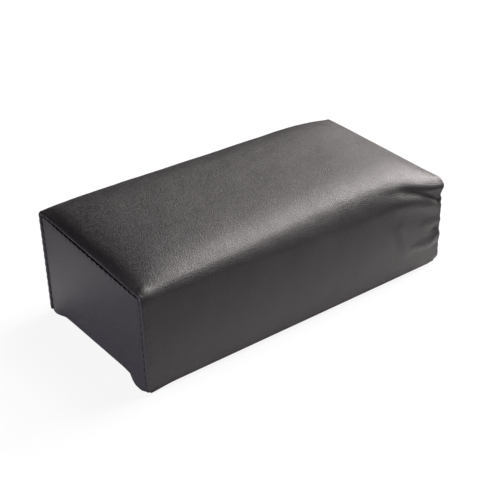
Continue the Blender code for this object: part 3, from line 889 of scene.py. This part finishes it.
@dataclass
class EndCover:
    """A flat end panel, sewn inside the roll, turned under and folded at its corners."""

    form: Form
    layers: Layers
    finish: Leatherette
    side: Side
    front_tab: Tab
    rear_tab: Tab
    cut: tuple[float, float] = (0.166, 0.125)
    turn_steps: int = 4
    flap_lines: tuple[float, ...] = (0.0025, 0.006, 0.010, 0.014, 0.018, 0.022)
    pucker: float = 0.00060
    pucker_reach: float = 0.0030
    fold_reach: float = 0.030
    lean_height: float = 0.016
    lean_start: float = 0.006
    flap_start: float = 0.008
    flap_length: float = 0.012

    @property
    def plane(self) -> float:
        """Distance of the flat face from the middle."""
        return self.form.length / 2 - self.layers.end_set_back

    def from_corners(self, y: Array) -> list[tuple[Tab, Array]]:
        """Each tab, with the distances of places across the width from its corner."""
        edge = self.form.width / 2 - self.layers.face
        return [(self.front_tab, edge + y), (self.rear_tab, edge - y)]

    def foot(self, y: Array) -> Array:
        """Level of the panel's lower edge across the width, with its two tabs."""
        level = np.full(len(y), self.form.flap_level)
        for tab, away in self.from_corners(y):
            t = np.clip((away - tab.flat) / (tab.reach - tab.flat), 0, 1)
            drop = tab.depth * (1 - t ** tab.power)
            level -= np.where(away < tab.reach, drop, 0.0)
        return level

    def lean(self, points: Array) -> Array:
        """How far the tabs carry points of the face outwards, beyond its flat plane."""
        out = np.zeros(points.shape[:-1])
        low = 1 - smooth((points[..., 2] - self.layers.turn) / self.lean_height)
        for tab, away in self.from_corners(points[..., 1]):
            ended = smooth((away - 0.6 * tab.reach) / tab.reach)
            out += tab.flare * low * smooth(away / self.lean_start) * (1 - ended)
        return out

    def turn_lines(self, foot: float) -> list[Array]:
        """The turn beside the seam, from its allowance to the flat face."""
        layers = self.layers
        spots = Seam(self.form, layers, self.side).spots(foot)
        centres = spots.under_at(layers.face, self.plane - layers.turn)
        slope = np.arcsin(np.clip(abs(spots.normals[:, 0]), 0, 1))
        lines = []
        for share in np.linspace(0, 1, self.turn_steps + 1):
            angle = (share * (np.pi / 2 - slope))[:, None]
            away = spots.normals * np.cos(angle) + spots.outward * np.sin(angle)
            lines.append(centres + away * layers.turn)
        return lines

    def face_lines(self, rim: Array) -> list[Array]:
        """The flat face as a patch stretched over its rim, one line for each column."""
        corner = self.form.corner_row
        front, top = rim[:corner + 1], rim[corner:len(rim) - corner]
        rear = rim[len(rim) - corner - 1:][::-1]
        across, up = len(top), len(front)
        y = np.linspace(rim[0, 1], rim[-1, 1], across)
        bottom = np.stack([np.full(across, rim[0, 0]), y, self.foot(y) + self.layers.turn], -1)
        bottom[0], bottom[-1] = rim[0], rim[-1]
        u = np.linspace(0, 1, across)[:, None, None]
        v = np.linspace(0, 1, up)[:, None]
        ends = (1 - v) * bottom[:, None] + v * top[:, None]
        face = (1 - u) * front + u * rear + ends - (1 - u) * ends[0] - u * ends[-1]
        face[..., 0] += self.side.value * self.lean(face)
        return list(face)

    def build(self) -> Object:
        layers, side = self.layers, self.side.value
        rows, half = self.form.rows, self.form.width / 2
        front, rear = self.foot(np.array([-half, half])) + layers.turn
        foot = np.where(np.arange(rows) < rows // 2, front, rear)
        seam = Seam(self.form, layers, self.side)
        strip = seam.allowance(layers.end_seam, foot, (1.0, 0.5)) + self.turn_lines(foot)
        face = self.face_lines(strip[-1])
        edge = np.array([line[0] for line in face])
        floor = edge[:, 2] - layers.turn
        turned = [(layers.turn * (1 - math.cos(angle)), edge[:, 2] - layers.turn * math.sin(angle))
                  for angle in np.linspace(0, math.pi / 2, self.turn_steps + 1)]
        for reach in self.flap_lines:
            back = smooth((reach - self.flap_start) / self.flap_length)
            turned.append((reach, floor + (self.form.flap_level - floor) * back))
        under = [np.stack([edge[:, 0] - side * reach, edge[:, 1], level], -1)
                 for reach, level in turned]
        mesh = bmesh.new()
        for sheet in (strip, face, under):
            lay_grid(mesh, sheet)
        bmesh.ops.remove_doubles(mesh, verts=mesh.verts[:], dist=WELD)
        self.draw_in(mesh, strip[-1], seam.pull(float(foot[0])))
        self.follow_folds(mesh)
        face_towards(mesh, (side, 0, 0))
        name = f"cover_end_{self.side.name.lower()}"
        piece = finished(mesh, name, self.finish.material(), layers.cover, even=False)
        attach(piece, "root")
        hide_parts(f"end_panel_{self.side.name.lower()}")
        return piece

    def draw_in(self, mesh: Mesh, rim: Array, pull: Array) -> None:
        """Draw the face in beside each stitch.

        Args:
            mesh: The panel's mesh, changed in place.
            rim: The points where the turn meets the flat face.
            pull: How strongly the thread draws in each of them.
        """
        tree = tree_of(rim)
        for vert in mesh.verts:
            _, row, away = tree.find(vert.co)
            near = math.exp(-((away / self.pucker_reach) ** 2))
            vert.co.x -= self.side.value * self.pucker * float(pull[row]) * near

    def follow_folds(self, mesh: Mesh) -> None:
        """Carry the front edge out with the front wall's folds, so the seam stays closed."""
        places = np.array([vert.co[:] for vert in mesh.verts])
        share = np.clip(1 - (places[:, 1] + self.form.width / 2) / self.fold_reach, 0, 1)
        out = share * self.form.fold_height(places)
        for vert, step in zip(mesh.verts, out):
            vert.co.y -= float(step)


@dataclass
class SeamThread:
    """The stitches that lie in the valley of one end seam."""

    form: Form
    layers: Layers
    finish: Thread
    side: Side
    radius: float = 0.00080
    gap: float = 0.0003
    dip: float = 0.0005
    rear_sink: float = 0.0014
    below_roll: float = 0.0009
    set_back: float = 0.0006
    rear_from: float = 0.47
    rear_fade: float = 0.002
    facets: int = 8

    def build(self) -> Object:
        layers = self.layers
        foot = self.form.flap_level
        seam = Seam(self.form, layers, self.side)
        spots, run = seam.spots(foot), seam.run(foot)
        past = spots.points[:, 1] - self.rear_from * self.form.width
        rear = smooth(past / self.rear_fade + 0.5)
        plane = self.form.length / 2 - self.set_back
        line = spots.under_at(layers.main_seam + self.below_roll, plane)
        line = line - spots.outward * (self.rear_sink * rear)[:, None]
        line[:, 1] -= self.form.fold_height(line)
        mesh = bmesh.new()
        count = int(run[-1] / layers.stitch)
        half = (layers.stitch - self.gap) / 2
        for stitch in range(count):
            middle = (stitch + 0.5) * layers.stitch
            made = bmesh.ops.create_uvsphere(
                mesh, u_segments=self.facets, v_segments=self.facets, radius=1.0,
            )
            for vert in made["verts"]:
                t = vert.co.z
                place, normal, outward = (
                    np.array([np.interp(middle + half * t, run, axis) for axis in values.T])
                    for values in (line, spots.normals, spots.outward)
                )
                blunt = min(1.0, 4.0 * (1 - t * t) + 0.001) / max(math.sqrt(1 - t * t), 0.05)
                aside = (normal * vert.co.x + outward * vert.co.y) * self.radius * blunt
                vert.co = place - outward * self.dip * t ** 4 + aside
        bmesh.ops.recalc_face_normals(mesh, faces=mesh.faces[:])
        piece = finished(mesh, f"seam_thread_{self.side.name.lower()}", self.finish.material())
        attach(piece, "root")
        return piece


@dataclass
class CornerPleat:
    """The cover's spare cloth at one lower corner, folded flat over the ends of its flaps.

    Attributes:
        inner: Distance of its inner edge from the middle, at its narrow side.
        outer: Distance of its outer edge from the middle.
        near: Distance of its narrow side from the long centre line.
        far: Distance of its wide side from the long centre line.
        slant: How much farther in the inner edge reaches at the wide side.
        level: Level of its lower face at its edges.
        sag: How far it hangs lower in its middle.
        thinner: How much thinner its folded cloth is pressed.
    """

    layers: Layers
    finish: Leatherette
    end: Side
    side: int
    inner: float = 0.1185
    outer: float = 0.1286
    near: float = 0.0619
    far: float = 0.0738
    slant: float = 0.0045
    level: float = 0.00532
    sag: float = 0.00035
    thinner: float = 0.0001
    steps: int = 10

    def build(self) -> Object:
        mesh = bmesh.new()
        bmesh.ops.create_grid(mesh, x_segments=self.steps, y_segments=self.steps, size=0.5)
        for vert in mesh.verts:
            along, across = vert.co.x + 0.5, vert.co.y + 0.5
            start = self.inner - self.slant * across
            vert.co.x = self.end.value * (start + (self.outer - start) * along)
            vert.co.y = self.side * (self.near + (self.far - self.near) * across)
            hang = math.sin(math.pi * along) * math.sin(math.pi * across)
            vert.co.z = self.level - self.sag * hang
        face_towards(mesh, (0, 0, -1))
        where = "front" if self.side < 0 else "rear"
        name = f"corner_pleat_{where}_{self.end.name.lower()}"
        thickness = self.layers.cover - self.thinner
        piece = finished(mesh, name, self.finish.material(), thickness)
        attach(piece, "root")
        return piece


# ---- what lies inside and below


@dataclass
class FoamBlock:
    """The foam that fills the cover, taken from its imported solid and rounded."""

    finish: Foam = field(default_factory=Foam)
    ease: float = 0.0010

    def build(self) -> Object:
        mesh = bmesh.new()
        mesh.from_mesh(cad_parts["foam_core"].data)
        bmesh.ops.remove_doubles(mesh, verts=mesh.verts[:], dist=WELD)
        bmesh.ops.join_triangles(
            mesh, faces=mesh.faces[:], angle_face_threshold=0.6, angle_shape_threshold=0.9,
        )
        mesh.normal_update()
        for vert, way in [(vert, vert.normal * self.ease) for vert in mesh.verts]:
            vert.co -= way
        piece = finished(mesh, "foam_block", self.finish.material())
        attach(piece, "root")
        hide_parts("foam_core")
        return piece


@dataclass
class Base:
    """The fibreboard base, its lining and its staples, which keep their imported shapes."""

    board: Fibreboard = field(default_factory=Fibreboard)
    lining: LiningCloth = field(default_factory=LiningCloth)
    wire: StapleWire = field(default_factory=StapleWire)
    lining_length: float = 0.273
    lining_width: float = 0.123
    lining_level: float = 0.0053
    lining_thickness: float = 0.0004
    lining_step: float = 0.0045
    slack: float = 0.0007
    slack_reach: float = 0.016
    taut: float = 0.25

    def dress(self) -> None:
        """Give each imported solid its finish, and lay the lining."""
        wire = self.wire.material()
        self.coat(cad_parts["base_board"], self.board.material())
        self.lay_lining()
        for name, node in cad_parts.items():
            if name.startswith("staple"):
                self.coat(node, wire)

    def lay_lining(self) -> Object:
        """Lay the lining over the board, a little slack between its staples."""
        middles = [
            sum((Vector(corner) for corner in node.bound_box), Vector()) / 8
            for name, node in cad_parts.items() if name.startswith("staple")
        ]
        tree = tree_of([(middle.x, middle.y, 0.0) for middle in middles])
        mesh = bmesh.new()
        bmesh.ops.create_grid(
            mesh, x_segments=round(self.lining_length / self.lining_step),
            y_segments=round(self.lining_width / self.lining_step), size=0.5,
        )
        for vert in mesh.verts:
            vert.co.x *= self.lining_length
            vert.co.y *= self.lining_width
            away = tree.find((vert.co.x, vert.co.y, 0.0))[2]
            loose = float(smooth(away / self.slack_reach - self.taut))
            vert.co.z = self.lining_level - self.slack * loose
        face_towards(mesh, (0, 0, -1))
        piece = finished(mesh, "lining_cloth", self.lining.material(), self.lining_thickness)
        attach(piece, "root")
        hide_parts("bottom_lining")
        return piece

    @staticmethod
    def coat(node: Object, material: Material) -> None:
        """Put one material in all of a node's slots."""
        if not node.material_slots:
            node.data.materials.append(material)
        for place in node.material_slots:
            place.material = material
        LOG.info("%s: %s", node.name, material.name)


# ---- the studio


@dataclass(frozen=True)
class Lamp:
    """A rectangular soft lamp that looks at the cushion.

    Attributes:
        name: The lamp's name.
        toward: Direction from the cushion to the lamp.
        power: Its power in watts.
        tint: Its colour.
        distance: How far it stands off, in metres.
        size: Its width and height in metres.
        aim: The point it looks at, inside the cushion.
    """

    name: str
    toward: Triple
    power: float
    tint: Triple
    distance: float = 1.7
    size: tuple[float, float] = (0.75, 0.75)
    aim: Triple = (0.0, 0.0, 0.05)

    def hang(self) -> None:
        """Put the lamp in the scene."""
        data = bpy.data.lights.new(self.name, "AREA")
        data.shape = "RECTANGLE"
        data.size, data.size_y = self.size
        data.energy = self.power
        data.color = self.tint
        lamp = bpy.data.objects.new(self.name, data)
        way = Vector(self.toward).normalized()
        lamp.location = Vector(self.aim) + way * self.distance
        lamp.rotation_euler = way.to_track_quat("Z", "Y").to_euler()
        bpy.context.scene.collection.objects.link(lamp)


@dataclass
class Studio:
    """White floor, soft lamps and the camera of the photograph.

    The floor is paper that throws light back under and near the cushion and is dark farther
    out. The camera is given by its axes, its place and its lens.
    """

    lamps: tuple[Lamp, ...]
    under: tuple[float, float] = (0.15, 0.075)
    paper_reach: float = 0.09
    paper: float = 0.85
    dark: float = 0.04
    glow: float = 0.90
    floor_half: float = 4.0
    right: Triple = (0.80229, -0.59590, -0.03518)
    up: Triple = (0.32827, 0.39121, 0.85976)
    back: Triple = (-0.49857, -0.70133, 0.50948)
    eye: Triple = (-0.53795, -0.74750, 0.59153)
    lens: float = 95.80

    def build(self) -> None:
        """Make the stage, hang the lamps and set the camera."""
        scene = bpy.context.scene
        scene.view_settings.view_transform = "Standard"
        self.floor()
        self.world()
        for lamp in self.lamps:
            lamp.hang()
        data = bpy.data.cameras.new("photo_camera")
        data.lens = self.lens
        data.sensor_width = 36.0
        data.clip_end = 50.0
        camera = bpy.data.objects.new("photo_camera", data)
        turn = Matrix((self.right, self.up, self.back)).transposed()
        camera.matrix_world = Matrix.Translation(self.eye) @ turn.to_4x4()
        scene.collection.objects.link(camera)
        scene.camera = camera

    def floor(self) -> None:
        """A wide white floor that looks white to the camera and keeps a soft shadow."""
        mesh = bmesh.new()
        bmesh.ops.create_grid(mesh, x_segments=2, y_segments=2, size=self.floor_half)
        graph = Graph("white_paper")
        place = graph.place()
        seen = graph.wire("LightPath", {}, "Is Camera Ray")
        beside, ahead = (
            (graph.along(place, axis).absolute() - half).larger(0.0)
            for axis, half in zip("XY", self.under)
        )
        near = 1 / ((beside * beside + ahead * ahead) / self.paper_reach ** 2 + 1)
        shade = graph.mix((near + seen).clamped(), (self.dark,) * 3, (self.paper,) * 3)
        paper = graph.node("BsdfDiffuse", {"Color": shade})
        glow = graph.node("Emission", WHITE)
        sockets = {0: seen * self.glow, 1: paper.outputs[0], 2: glow.outputs[0]}
        blend = graph.node("MixShader", sockets)
        graph.node("OutputMaterial", {"Surface": blend.outputs[0]})
        finished(mesh, "studio_floor", graph.owner)

    def world(self) -> None:
        """White to the camera, and no light on anything else."""
        graph = Graph("studio", "worlds")
        bpy.context.scene.world = graph.owner
        seen = graph.wire("LightPath", {}, "Is Camera Ray")
        white = graph.node("Background", WHITE)
        blend = graph.node("MixShader", {0: seen, 2: white.outputs[0]})
        graph.node("OutputWorld", {"Surface": blend.outputs[0]})


FRONT_FOLDS = (
    Fold(((0.0650, 0.0860, 0.0003), (0.0413, 0.0835, 0.0012), (0.0183, 0.0750, 0.0020),
          (0.0, 0.0700, 0.0024)), 0.0046),
    Fold(((0.062, 0.0690, 0.0004), (0.0467, 0.0685, 0.0014), (0.0297, 0.0650, 0.0026),
          (0.0121, 0.0575, 0.0027), (0.0, 0.0495, 0.0013)), 0.0072),
    Fold(((0.0600, 0.0805, -0.0004), (0.0413, 0.0773, -0.0012), (0.0183, 0.0685, -0.0016),
          (0.0039, 0.0590, -0.0016)), 0.0036),
    Fold(((0.0180, 0.0395, 0.0006), (0.0003, 0.0375, 0.0010)), 0.0048),
    Fold(((0.0085, 0.0320, -0.0010), (0.0055, 0.0320, -0.0012)), 0.0032),
    Fold(((-0.0006, 0.0236, 0.0013), (0.0121, 0.0188, 0.0015), (0.0332, 0.0215, 0.0011),
          (0.0451, 0.0320, 0.0006), (0.0491, 0.0480, 0.0004)), 0.0038),
    Fold(((0.0400, 0.0203, 0.0004), (0.0455, 0.0459, 0.0005)), 0.0040),
    Fold(((0.0071, 0.0665, 0.0008), (-0.0003, 0.0580, 0.0012)), 0.0015),
)

WARM = (1.0, 0.94, 0.925)
COOL = (0.89, 0.82, 1.0)
LAMPS = (
    Lamp("right_softbox", (0.9397, 0.0, 0.3420), 50.6, WARM),
    Lamp("overhead_right", (0.5649, -0.0996, 0.8192), 23.5, WARM),
    Lamp("left_strip", (-0.9848, 0.0, 0.1736), 25.0, COOL),
    Lamp("overhead", (0.4067, 0.0, 0.9135), 11.3, WARM),
    Lamp("back_right", (0.7344, 0.4240, 0.5299), 8.9, WARM),
    Lamp("high_back_right", (0.6872, 0.2501, 0.6820), 4.0, WARM),
    Lamp("front_fill", (0.0, -0.9848, 0.1736), 2.1, COOL),
)


def main() -> None:
    """Build every piece and the studio."""
    logging.basicConfig(level=logging.INFO, format="%(message)s")
    form = Form(folds=FRONT_FOLDS)
    layers = Layers()
    MainCover(form, layers, Leatherette("leatherette_main", speckled_above=0.078)).build()
    full = Tab(0.0060, 0.0105, 0.0215, 1.9, flare=0.0016)
    shallow = Tab(0.0052, 0.001, 0.0205, 1.2, flare=0.0006)
    tucked = Tab(0.0056, 0.010, 0.0220, 1.6)
    for side, tabs in ((Side.LEFT, (full, shallow)), (Side.RIGHT, (tucked, tucked))):
        finish = Leatherette(f"leatherette_end_{side.name.lower()}", relief=0.00010)
        EndCover(form, layers, finish, side, *tabs).build()
    for side in Side:
        SeamThread(form, layers, Thread(), side).build()
        for end in Side:
            finish = Leatherette(f"leatherette_pleat_{side.name.lower()}_{end.name.lower()}")
            CornerPleat(layers, finish, end, side.value).build()
    FoamBlock().build()
    Base().dress()
    Studio(LAMPS).build()


if __name__ == "__main__":
    main()
